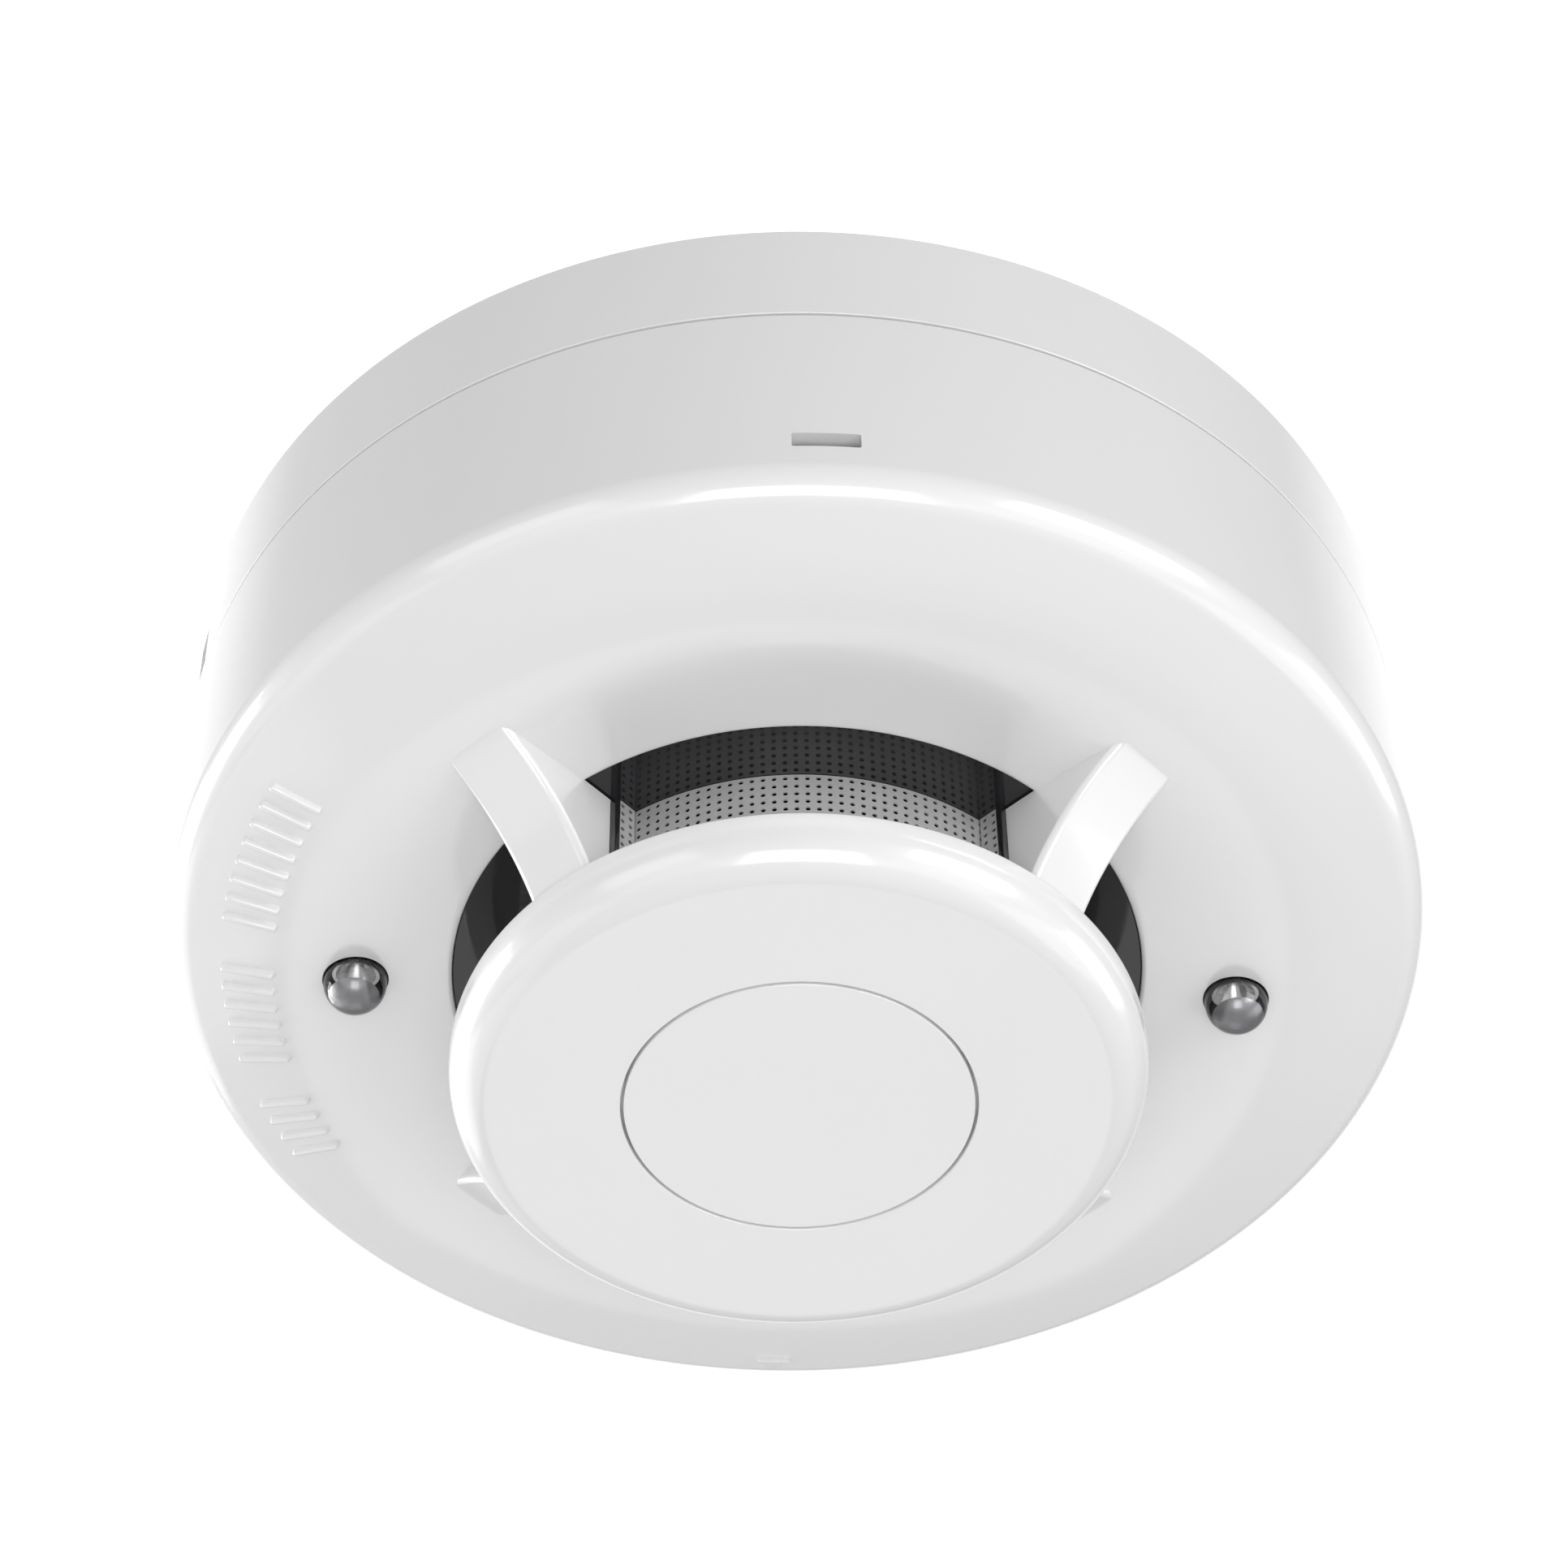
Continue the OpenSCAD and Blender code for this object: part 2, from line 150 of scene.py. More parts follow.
def apply_modifiers(obj):
    """Makes the object's modified mesh its own."""
    bpy.context.view_layer.update()
    graph = bpy.context.evaluated_depsgraph_get()
    made = bpy.data.meshes.new_from_object(obj.evaluated_get(graph))
    obj.modifiers.clear()
    obj.data = made
    return obj


def combine(target, tools, operation):
    """Boolean of the target with each tool; the tools are used up."""
    for tool in tools:
        step = target.modifiers.new("boolean", "BOOLEAN")
        step.operation = operation
        step.solver = "EXACT"
        step.object = tool
    apply_modifiers(target)
    for tool in tools:
        bpy.data.objects.remove(tool)
    return target


def soften(obj, width=0.0, sharp_deg=35, segments=2):
    """Rounds the sharp edges by a width in millimetres, and shades what is left smooth."""
    if width:
        step = obj.modifiers.new("edge", "BEVEL")
        step.width = width * MM
        step.segments = segments
        step.limit_method = "ANGLE"
        step.angle_limit = math.radians(sharp_deg)
        step.use_clamp_overlap = True
        apply_modifiers(obj)
    obj.data.shade_smooth()
    obj.data.set_sharp_from_angle(angle=math.radians(sharp_deg))
    step = obj.modifiers.new("weighted", "WEIGHTED_NORMAL")
    step.keep_sharp = True
    return obj


def arc(centre, radius, start, end, steps):
    """Points along a circular arc, angles in degrees."""
    points = []
    for i in range(steps + 1):
        a = math.radians(start + (end - start) * i / steps)
        points.append((centre[0] + radius * math.cos(a), centre[1] + radius * math.sin(a)))
    return points


def ease(t):
    """Smooth step between 0 and 1."""
    return t * t * (3 - 2 * t)


def rounded(points, radius, steps=3):
    """The closed outline with its corners rounded, each no wider than its sides allow."""
    made = []
    count = len(points)
    for i in range(count):
        before, here, after = (Vector(points[(i + k) % count]) for k in (-1, 0, 1))
        to_before, to_after = before - here, after - here
        turn = to_before.angle(to_after)
        if abs(math.pi - turn) < math.radians(25):
            made.append(tuple(here))
            continue
        reach = min(radius / math.tan(turn / 2), to_before.length * 0.45, to_after.length * 0.45)
        start = here + to_before.normalized() * reach
        end = here + to_after.normalized() * reach
        for k in range(steps + 1):
            t = k / steps
            made.append(tuple(start * (1 - t) ** 2 + here * 2 * t * (1 - t) + end * t ** 2))
    return made


def lathe(name, profile, steps=LATHE_STEPS):
    """Solid of revolution about Z from a closed profile of (radius, height) points."""
    verts, rows = [], []
    for r, z in profile:
        if r < 1e-6:
            rows.append([len(verts)] * steps)
            verts.append((0, 0, z))
            continue
        rows.append(list(range(len(verts), len(verts) + steps)))
        for i in range(steps):
            a = math.tau * i / steps
            verts.append((r * math.cos(a), r * math.sin(a), z))
    faces = []
    for row, following in zip(rows, rows[1:] + rows[:1]):
        for i in range(steps):
            k = (i + 1) % steps
            corners = [row[i], row[k], following[k], following[i]]
            corners = [c for n, c in enumerate(corners) if c not in corners[:n]]
            if len(corners) > 2:
                faces.append(corners)
    return mesh_object(name, verts, faces)


def prism(name, outline, low, high):
    """Upright prism of an (x, y) outline between two heights."""
    count = len(outline)
    verts = [(x, y, low) for x, y in outline] + [(x, y, high) for x, y in outline]
    faces = [[i, (i + 1) % count, count + (i + 1) % count, count + i] for i in range(count)]
    faces += [list(range(count)), list(range(count, 2 * count))]
    return mesh_object(name, verts, faces)


def place(obj, matrix):
    """Moves the object's mesh, lengths in metres, and leaves the object at the origin."""
    obj.data.transform(matrix)
    return obj


def turned(obj, degrees):
    """Turns the mesh about Z."""
    return place(obj, Matrix.Rotation(math.radians(degrees), 4, "Z"))


def shifted(obj, x, y, z=0.0):
    """Moves the mesh by millimetres."""
    return place(obj, Matrix.Translation(Vector((x, y, z)) * MM))


def rectangle(width, height):
    """Corners of a rectangle centred on the origin."""
    x, y = width / 2, height / 2
    return [(-x, -y), (x, -y), (x, y), (-x, y)]


def slot_outline(length, width, steps=24):
    """Outline of a slot along X with round ends."""
    reach = (length - width) / 2
    return arc((reach, 0), width / 2, -90, 90, steps) + arc((-reach, 0), width / 2, 90, 270, steps)


def circle(radius, steps=64):
    """Outline of a circle."""
    return arc((0, 0), radius, 0, FULL_TURN - FULL_TURN / steps, steps - 1)


def sector_outline(inner, outer, centre, width, steps=16):
    """Outline of part of a ring, centred on an angle."""
    half = width / 2
    return arc((0, 0), outer, centre - half, centre + half, steps) + arc(
        (0, 0), inner, centre + half, centre - half, steps)


def join(objects, name):
    """One object from several, kept as separate closed shells."""
    bm = bmesh.new()
    for obj in objects:
        bm.from_mesh(obj.data)
        bpy.data.objects.remove(obj)
    mesh = bpy.data.meshes.new(name)
    bm.to_mesh(mesh)
    bm.free()
    return keep(mesh, name)


# ---------------------------------------------------------------- materials

def new_material(name):
    """Empty node material and its shader."""
    material = bpy.data.materials.new(name)
    material.use_nodes = True
    shader = material.node_tree.nodes["Principled BSDF"]
    return material, material.node_tree, shader


def add(tree, kind, **values):
    """Node with its named inputs set."""
    made = tree.nodes.new(kind)
    for key, value in values.items():
        made.inputs[key.replace("_", " ")].default_value = value
    return made


def noise(tree, scale, detail=3.0, roughness=0.55):
    """Noise in the object's own coordinates; scale is in features per metre."""
    place_node = tree.nodes.new("ShaderNodeTexCoord")
    made = add(tree, "ShaderNodeTexNoise", Scale=scale, Detail=detail, Roughness=roughness)
    tree.links.new(place_node.outputs["Object"], made.inputs["Vector"])
    return made.outputs["Fac"]


def spread(tree, source, low, high, start=0.3, end=0.7):
    """Maps a value onto a range."""
    made = tree.nodes.new("ShaderNodeMapRange")
    made.inputs["From Min"].default_value = start
    made.inputs["From Max"].default_value = end
    made.inputs["To Min"].default_value = low
    made.inputs["To Max"].default_value = high
    tree.links.new(source, made.inputs["Value"])
    return made.outputs["Result"]


def tint(tree, source, first, second):
    """Colour between two tones."""
    made = tree.nodes.new("ShaderNodeValToRGB")
    made.color_ramp.elements[0].position = 0.3
    made.color_ramp.elements[1].position = 0.7
    made.color_ramp.elements[0].color = (*first, 1)
    made.color_ramp.elements[1].color = (*second, 1)
    tree.links.new(source, made.inputs["Fac"])
    return made.outputs["Color"]


def bump(tree, shader, height, strength, distance_mm):
    """Relief from a height."""
    made = add(tree, "ShaderNodeBump", Strength=strength, Distance=distance_mm * MM)
    tree.links.new(height, made.inputs["Height"])
    tree.links.new(made.outputs["Normal"], shader.inputs["Normal"])


def plastic(name, colour, variation, rough, grain=1800.0, grain_mm=0.006, strength=0.25, coat=0.0,
            coat_rough=0.13, coat_ior=1.5):
    """Moulded plastic: slow tone and gloss changes, a fine moulded grain and a gloss coat."""
    material, tree, shader = new_material(name)
    darker = tuple(c * (1 - variation) for c in colour)
    tree.links.new(tint(tree, noise(tree, 45.0), darker, colour), shader.inputs["Base Color"])
    tree.links.new(spread(tree, noise(tree, 160.0, 5.0), *rough), shader.inputs["Roughness"])
    bump(tree, shader, noise(tree, grain, 2.0), strength, grain_mm)
    shader.inputs["IOR"].default_value = 1.52
    shader.inputs["Coat Weight"].default_value = coat
    shader.inputs["Coat Roughness"].default_value = coat_rough
    shader.inputs["Coat IOR"].default_value = coat_ior
    return material


def metal(name, colour, variation, rough, grain=2500.0, grain_mm=0.003, metallic=1.0):
    """Metal with fine grain and patches of a slightly duller tone."""
    material, tree, shader = new_material(name)
    darker = tuple(c * (1 - variation) for c in colour)
    tree.links.new(tint(tree, noise(tree, 300.0, 4.0), darker, colour), shader.inputs["Base Color"])
    tree.links.new(spread(tree, noise(tree, 700.0, 4.0), *rough), shader.inputs["Roughness"])
    bump(tree, shader, noise(tree, grain, 2.0), 0.3, grain_mm)
    shader.inputs["Metallic"].default_value = metallic
    return material


def clear(name, colour, rough):
    """Clear epoxy or glass with a faint ripple from its mould."""
    material, tree, shader = new_material(name)
    paler = tuple(min(1.0, c * 1.06) for c in colour)
    tree.links.new(tint(tree, noise(tree, 500.0), colour, paler), shader.inputs["Base Color"])
    tree.links.new(spread(tree, noise(tree, 900.0), *rough), shader.inputs["Roughness"])
    bump(tree, shader, noise(tree, 350.0, 1.0), 0.02, 0.005)
    shader.inputs["Transmission Weight"].default_value = 1.0
    shader.inputs["IOR"].default_value = 1.5
    return material


def board(name):
    """Solder mask over copper tracks and glass weave."""
    material, tree, shader = new_material(name)
    place_node = tree.nodes.new("ShaderNodeTexCoord")
    tracks = add(tree, "ShaderNodeTexBrick", Scale=260.0, Mortar_Size=0.035)
    tracks.inputs["Color1"].default_value = (0.012, 0.13, 0.05, 1)
    tracks.inputs["Color2"].default_value = (0.016, 0.16, 0.06, 1)
    tracks.inputs["Mortar"].default_value = (0.05, 0.3, 0.12, 1)
    tree.links.new(place_node.outputs["Object"], tracks.inputs["Vector"])
    tree.links.new(tracks.outputs["Color"], shader.inputs["Base Color"])
    tree.links.new(spread(tree, noise(tree, 400.0), 0.25, 0.4), shader.inputs["Roughness"])
    bump(tree, shader, tracks.outputs["Fac"], 0.4, 0.03)
    return material


WHITE = plastic("white_gloss", (0.85, 0.85, 0.849), 0.012, (0.3, 0.38), grain_mm=0.002, strength=0.12,
                coat=1.0, coat_ior=1.9)
SATIN = plastic("white_satin", (0.74, 0.74, 0.73), 0.03, (0.35, 0.5))
LATCH = plastic("frame_grey", (0.15, 0.15, 0.15), 0.04, (0.4, 0.55))
BLACK = plastic("black_gloss", (0.016, 0.015, 0.017), 0.2, (0.06, 0.1), grain_mm=0.001, strength=0.1,
                coat=0.2, coat_rough=0.02)
CHIP = plastic("component_black", (0.03, 0.03, 0.032), 0.3, (0.45, 0.6), grain=4000.0)
LINER = metal("lamp_liner", (0.5, 0.495, 0.505), 0.08, (0.3, 0.36), grain_mm=0.001)
SLEEVE = plastic("capacitor_sleeve", (0.07, 0.09, 0.16), 0.15, (0.2, 0.35))
OPTIC = plastic("tinted_epoxy", (0.02, 0.02, 0.06), 0.2, (0.06, 0.12))
STEEL = metal("plated_steel", (0.72, 0.72, 0.71), 0.12, (0.22, 0.38))
FOIL = metal("screen_foil", (0.62, 0.615, 0.62), 0.05, (0.38, 0.5), grain_mm=0.001, metallic=0.35)
BRASS = metal("tinned_brass", (0.78, 0.68, 0.46), 0.15, (0.2, 0.35))
TIN = metal("tinned_wire", (0.76, 0.76, 0.75), 0.1, (0.18, 0.3))
CLEAR = clear("lamp_clear", (0.64, 0.63, 0.65), (0.05, 0.09))
GLASS = clear("reed_glass", (0.8, 0.9, 0.92), (0.02, 0.06))
BOARD = board("circuit_board")


def finish_with(obj, material):
    """Gives the whole object one material."""
    obj.data.materials.clear()
    obj.data.materials.append(material)
    for polygon in obj.data.polygons:
        polygon.material_index = 0


# ---------------------------------------------------------------- head casing

def dome_z(r):
    """Height of the face between the rim's rounding and its crest."""
    share = (RIM_END_R - r) / (RIM_END_R - CREST_R)
    return RIM_END_Z + (CREST_Z - RIM_END_Z) * math.sin(math.pi / 2 * share)


def cover_profile():
    """Closed profile of the cover's wall and face, from the seam to the mouth."""
    seam_round, lip_round, inner_step, steps = 0.08, 0.35, 1.6, 24
    seam_edge = arc((BODY_R - seam_round, HEAD_TOP - seam_round), seam_round, 90, 0, 3)
    rim = arc((BODY_R - FACE_ROUND, FACE_Z + FACE_ROUND), FACE_ROUND, 0, RIM_END, 20)
    dome, dish = [], []
    for i in range(1, steps + 1):
        r = RIM_END_R + (CREST_R - RIM_END_R) * i / steps
        dome.append((r, dome_z(r)))
    for i in range(1, steps):
        t = i / steps
        dish.append((CREST_R - (CREST_R - MOUTH_R - lip_round) * t, CREST_Z + (LIP_Z - CREST_Z) * ease(t)))
    lip = arc((MOUTH_R + lip_round, LIP_Z + lip_round), lip_round, -90, -180, 4)
    inside = [(MOUTH_R, LIP_Z + inner_step), (CREST_R, CREST_Z + WALL), (BORE_R - 1, FACE_Z + WALL),
              (BORE_R, FACE_Z + WALL + 1), (BORE_R, HEAD_TOP)]
    return seam_edge + rim + dome + dish + lip + inside


def cap_profile():
    """Closed profile of the cap with its pocket and the recess for the disc."""
    edge = 0.45
    recess_r = DISC_R + 0.25
    groove = 0.12
    rim = arc((CAP_R - edge, CAP_TOP - edge), edge, 90, 0, 4)
    side = arc((CAP_R - CAP_ROUND, CAP_Z + CAP_ROUND), CAP_ROUND, 0, -90, 20)
    mouth = arc((recess_r + groove, CAP_Z + groove), groove, -90, -180, 3)
    return ([(0, POCKET_Z), (POCKET_R, POCKET_Z), (POCKET_R, CAP_TOP)] + rim + side + [(19, CAP_Z)]
            + mouth + [(recess_r, CAP_Z + DISC_RECESS), (0, CAP_Z + DISC_RECESS)])


def fin(angle):
    """Upright web with a hollow-curved outer edge and softly rounded corners."""
    top, neck, neck_r = CREST_Z + 1.2, FLANGE_Z - 0.2, MOUTH_R + 0.8
    edge_round = 0.6
    cx, cz = FIN_CURVE_CENTRE
    start, end = (math.degrees(math.atan2(z - cz, -math.sqrt(FIN_CURVE_R ** 2 - (z - cz) ** 2)))
                  for z in (top, FIN_BOTTOM))
    curve = arc((cx, cz), FIN_CURVE_R, start, end, 28)
    outline = [(FIN_INNER_R, FIN_BOTTOM), (FIN_INNER_R, neck), (neck_r, neck), (neck_r, top)] + curve
    count = len(outline)
    half = FIN_W / 2
    verts = [(r, side, z) for side in (-half, half) for r, z in outline]
    faces = [[i, (i + 1) % count, count + (i + 1) % count, count + i] for i in range(count)]
    faces += [list(range(count)), list(range(count, 2 * count))]
    obj = mesh_object("fin", verts, faces)
    bm = bmesh.new()
    bm.from_mesh(obj.data)
    long_edges = []
    for edge in bm.edges:
        a, b = (v.co / MM for v in edge.verts)
        same_side = abs(a.y - b.y) < 1e-3
        on_curve = all(abs(math.hypot(p.x - cx, p.z - cz) - FIN_CURVE_R) < 1e-2 for p in (a, b))
        if same_side and on_curve:
            long_edges.append(edge)
    bmesh.ops.bevel(bm, geom=long_edges, offset=edge_round * MM, segments=4, profile=0.5, affect="EDGES")
    bm.to_mesh(obj.data)
    bm.free()
    return turned(obj, angle)


def pointer():
    """Raised wedge that marks the front, high at its flat inner edge."""
    inner, apex, half = 46.3, 48.2, 1.4
    foot, crown, tip = FACE_Z + 0.5, dome_z(inner) - 0.42, FACE_Z + 0.1
    verts = [(-half, inner, foot), (half, inner, foot), (0, apex, foot),
             (-half, inner, crown), (half, inner, crown), (0, apex, tip)]
    faces = [[0, 1, 2], [3, 4, 5], [0, 1, 4, 3], [1, 2, 5, 4], [2, 0, 3, 5]]
    return mesh_object("pointer", verts, faces)


def build_cover():
    """The one-piece cover: wall, face, fins, cap and pointer, cut for the windows and lamps."""
    window_w, window_top, window_bottom = 5.1, -25.5, -27.05
    corner, reach = 0.15, 3
    body = lathe("cover", cover_profile())
    cap = lathe("cap", cap_profile())
    combine(body, [fin(a) for a in FIN_ANGLES] + [cap, pointer()], "UNION")
    cuts = []
    for side in (-1, 1):
        outline = rounded(rectangle(window_w, window_top - window_bottom), corner)
        window = prism("window", outline, -reach, reach)
        place(window, Matrix.Rotation(math.radians(90), 4, "X"))
        cuts.append(shifted(window, 0, side * BODY_R, (window_top + window_bottom) / 2))
        hole = prism("lamp_hole", circle(LAMP_R + LAMP_GAP), CREST_Z - 1, FACE_Z + 4)
        cuts.append(shifted(hole, side * LAMP_X, 0))
    combine(body, cuts, "DIFFERENCE")
    body.name = "cover_moulding"
    soften(body, sharp_deg=32)
    finish_with(body, WHITE)
    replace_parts(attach(body, "head"), "outer_cover")


def mark_bar(length, width):
    """Bar along X with round ends and a rounded back, centred on the origin and raised towards -Z."""
    outline = slot_outline(length, width, 8)
    reach = (length - width) / 2
    # Share of the bar's width at each height above the face
    levels = ((1.1, -0.1), (1.0, 0.18), (0.88, 0.38), (0.62, 0.48), (0.25, 0.52))
    verts, faces = [], []
    for scale, height in levels:
        for x, y in outline:
            core = max(-reach, min(reach, x))
            verts.append((core + (x - core) * scale, y * scale, -height))
    size = len(outline)
    for level in range(len(levels) - 1):
        for k in range(size):
            a, b = level * size + k, level * size + (k + 1) % size
            faces.append([a, b, b + size, a + size])
    faces += [list(range(size)), list(range((len(levels) - 1) * size, len(levels) * size))]
    return mesh_object("bar", verts, faces)


def build_marks():
    """Three groups of raised bars on the left of the face, lying along its slope."""
    middle_r, step = 43.5, 2.6
    bar_length, bar_width = 4.4, 0.6
    groups = ((152.8, 4), (167.6, 6), (187.8, 8))
    slope = math.atan((dome_z(middle_r + 1) - dome_z(middle_r - 1)) / 2)
    lean = Matrix.Rotation(-slope, 4, "Y")
    bars = []
    for start, count in groups:
        for i in range(count):
            bar = place(mark_bar(bar_length, bar_width), lean)
            bars.append(turned(shifted(bar, middle_r, 0, dome_z(middle_r)), start + step * i))
    marks = join(bars, "face_marks")
    soften(marks, sharp_deg=60)
    finish_with(marks, WHITE)
    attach(marks, "head")


def build_disc():
    """Disc set flush into the cap, with a softened edge."""
    low, high = (corner.z for corner in box_mm("centre_disc"))
    edge = 0.12
    corner = arc((DISC_R - edge, low + edge), edge, 0, -90, 3)
    outline = [(0, high), (DISC_R, high)] + corner + [(8, low), (0, low)]
    disc = lathe("cap_disc", outline)
    soften(disc)
    finish_with(disc, WHITE)
    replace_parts(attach(disc, "head"), "centre_disc")


# ---------------------------------------------------------------- smoke chamber

def perforated(name, columns, rows, point, wraps=False):
    """Thin sheet with a round hole in every cell. point(u, v, side) places u and v, counted in cells."""
    hole_r = SCREEN_HOLE_R / SCREEN_PITCH
    border = [(-1, -1), (0, -1), (1, -1), (1, 0), (1, 1), (0, 1), (-1, 1), (-1, 0)]
    turns = [math.radians(-135 + 45 * k) for k in range(8)]
    last = 2 * columns if wraps else 2 * columns + 1
    verts, faces, grids = [], [], []

    def vertex(u, v, side):
        verts.append(point(u, v, side))
        return len(verts) - 1

    for side in (0, 1):
        grids.append({(i, j): vertex(i / 2, j / 2, side)
                      for i in range(last) for j in range(2 * rows + 1) if not (i % 2 and j % 2)})

    def corner(side, i, j):
        return grids[side][(i % last if wraps else i, j)]

    for i in range(columns):
        for j in range(rows):
            rims = []
            for side in (0, 1):
                hole = [vertex(i + 0.5 + hole_r * math.cos(t), j + 0.5 + hole_r * math.sin(t), side)
                        for t in turns]
                edge = [corner(side, 2 * i + 1 + x, 2 * j + 1 + z) for x, z in border]
                faces += [[edge[k - 1], edge[k], hole[k], hole[k - 1]] for k in range(8)]
                rims.append(hole)
            faces += [[rims[0][k - 1], rims[0][k], rims[1][k], rims[1][k - 1]] for k in range(8)]
    for j in (0, 2 * rows):
        for i in range(2 * columns):
            faces.append([corner(0, i, j), corner(0, i + 1, j), corner(1, i + 1, j), corner(1, i, j)])
    if not wraps:
        for i in (0, 2 * columns):
            for j in range(2 * rows):
                faces.append([corner(0, i, j), corner(0, i, j + 1), corner(1, i, j + 1), corner(1, i, j)])
    return mesh_object(name, verts, faces)


def build_screen():
    """Foil screen rolled into a ring, with short wings that lie along the sides of the posts."""
    columns = round(math.tau * SCREEN_R / SCREEN_PITCH)
    rows = round((SCREEN_TOP - SCREEN_BOTTOM) / SCREEN_PITCH)
    row_h = (SCREEN_TOP - SCREEN_BOTTOM) / rows

    def on_ring(u, v, side):
        r, a = SCREEN_R - side * SCREEN_THICKNESS, math.tau * u / columns
        return r * math.cos(a), r * math.sin(a), SCREEN_BOTTOM + v * row_h

    pieces = [perforated("ring", columns, rows, on_ring, wraps=True)]
    for angle in FIN_ANGLES:
        for hand in (-1, 1):
            def on_wing(u, v, side):
                return (WING_START + u * SCREEN_PITCH, hand * (WING_SIDE - side * SCREEN_THICKNESS),
                        SCREEN_BOTTOM + v * row_h)

            pieces.append(turned(perforated("wing", 2, rows, on_wing), angle))
    screen = join(pieces, "perforated_screen")
    soften(screen, sharp_deg=40)
    finish_with(screen, FOIL)
    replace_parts(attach(screen, "head"), "insect_screen")


def build_chamber():
    """Black cup with its flange round the mouth and the posts behind the fins."""
    inner_r = CHAMBER_R - CHAMBER_WALL
    flange_r, flange_top = MOUTH_R - 0.04, FLANGE_Z + FLANGE_T
    outer_edge, inner_edge = 0.06, 0.2
    profile = ([(0, CHAMBER_TOP), (CHAMBER_R, CHAMBER_TOP), (CHAMBER_R, flange_top), (flange_r, flange_top)]
               + arc((flange_r - outer_edge, FLANGE_Z + outer_edge), outer_edge, 0, -90, 3)
               + arc((FLANGE_INNER_R + inner_edge, FLANGE_Z + inner_edge), inner_edge, -90, -180, 3)
               + [(FLANGE_INNER_R, flange_top), (inner_r, flange_top),
                  (inner_r, CHAMBER_TOP - CHAMBER_WALL), (0, CHAMBER_TOP - CHAMBER_WALL)])
    cup = lathe("chamber_cup", profile, 180)
    posts = []
    depth, bar, corner, top = 1.5, 0.55, 0.1, FLANGE_Z + 0.3
    width = 2 * WING_SIDE - 2 * SCREEN_THICKNESS - 0.1
    bar_width = 2 * WING_SIDE + 0.2
    for angle in FIN_ANGLES:
        post = prism("post", rounded(rectangle(depth, width), corner), POST_BOTTOM, top)
        posts.append(turned(shifted(post, SCREEN_R + POST_GAP + depth / 2, 0), angle))
        stop = prism("stop", rounded(rectangle(bar, bar_width), corner), POST_BOTTOM, top)
        posts.append(turned(shifted(stop, SCREEN_R + POST_GAP + depth, 0), angle))
    combine(cup, posts, "UNION")
    soften(cup)
    finish_with(cup, BLACK)
    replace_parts(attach(cup, "head"), "chamber_base")


# ---------------------------------------------------------------- status lamps

def build_lamp(side, node):
    """Clear round-ended lamp with a metal cup, and a satin liner inside its dome."""
    middle = LAMP_Z
    top = box_mm(node)[1].z
    flange_r, flange_t, base_gap = LAMP_R + 0.4, 1, 0.4
    liner_outer, liner_inner, liner_end = 2.25, 2.1, -32
    dome = arc((0, middle), LAMP_R, -90, 0, 24)
    flange = [(0, top), (flange_r, top), (flange_r, top - flange_t), (LAMP_R, top - flange_t)]
    lens = lathe(node + "_lens", flange + dome[::-1], 96)
    shifted(lens, side * LAMP_X, 0)
    soften(lens)
    finish_with(lens, CLEAR)
    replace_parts(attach(lens, "head"), node)
    cup = [(0.5, middle + 1.3), (0.95, middle + 0.75), (1.1, middle + 0.8), (0.85, middle + 1.8),
           (0.85, top - base_gap), (0, top - base_gap), (0, middle + 1.5), (0.4, middle + 1.5)]
    liner = (arc((0, middle), liner_outer, -90, liner_end, 20)
             + arc((0, middle), liner_inner, liner_end, -90, 20))
    for suffix, profile, material in (("_core", cup, STEEL), ("_jacket", liner, LINER)):
        piece = lathe(node + suffix, profile, 48)
        shifted(piece, side * LAMP_X, 0)
        soften(piece)
        finish_with(piece, material)
        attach(piece, "head")


# ---------------------------------------------------------------- mounting base

def base_profile():
    """Closed profile of the base's wall and plate."""
    upper_edge, lower_edge = 0.3, 0.08
    upper = arc((BODY_R - upper_edge, -upper_edge), upper_edge, 90, 0, 3)
    lower = arc((BODY_R - lower_edge, BASE_BOTTOM + lower_edge), lower_edge, 0, -90, 3)
    return ([(BORE_R, 0)] + upper + lower
            + [(BORE_R, BASE_BOTTOM), (BORE_R, PLATE_BOTTOM), (0, PLATE_BOTTOM), (0, PLATE_TOP),
               (BORE_R, PLATE_TOP)])


